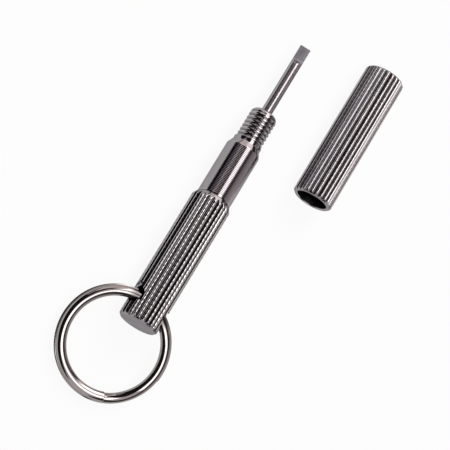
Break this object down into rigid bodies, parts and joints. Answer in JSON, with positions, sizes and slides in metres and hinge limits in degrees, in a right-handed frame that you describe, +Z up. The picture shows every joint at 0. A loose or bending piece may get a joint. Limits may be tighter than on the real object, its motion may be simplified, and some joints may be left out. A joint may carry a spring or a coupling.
{
  "type": "eyeglass screwdriver",
  "caption": "Pocket eyeglass screwdriver with knurled metal sleeves, a double-ended core that holds a slotted and a cross blade, a screw-on cap and a split key ring.",
  "frame": {"origin": "middle of the flat tail face, on the driver's axis, with the driver lying on a table", "axes": "+X from the tail to the slotted blade's tip, +Y to the left, +Z up"},
  "size_m": [0.0784, 0.0309, 0.0074],
  "materials": {
    "sleeve": "polished dark nickel plate over straight knurling, a little worn on the crests",
    "core": "polished dark nickel plate, turned smooth, with cut threads",
    "blade": "drawn tool steel, ground at the tip",
    "ring": "bright nickel-plated oval wire"
  },
  "bodies": {
    "handle": {"handle_barrel": "sleeve"},
    "core": {"threaded_neck": "core", "slotted_blade": "blade", "cross_blade": "blade"},
    "cap": {"cap": "sleeve"},
    "key_ring": {"key_ring": "ring"}
  },
  "joints": [
    {"name": "core_turn", "type": "hinge", "parent": "handle", "child": "core", "pos_m": [0.0258, 0, 0], "axis": [1, 0, 0], "continuous": true},
    {"name": "cap_turn", "type": "hinge", "parent": "handle", "child": "cap", "pos_m": [0.0365, -0.0154, 0], "axis": [1, 0, 0], "continuous": true},
    {"name": "ring_swing", "type": "hinge", "parent": "handle", "child": "key_ring", "pos_m": [0.0035, 0, 0.0008], "axis": [0.1754, 0.9845, 0], "range_deg": [-149, 175]}
  ]
}
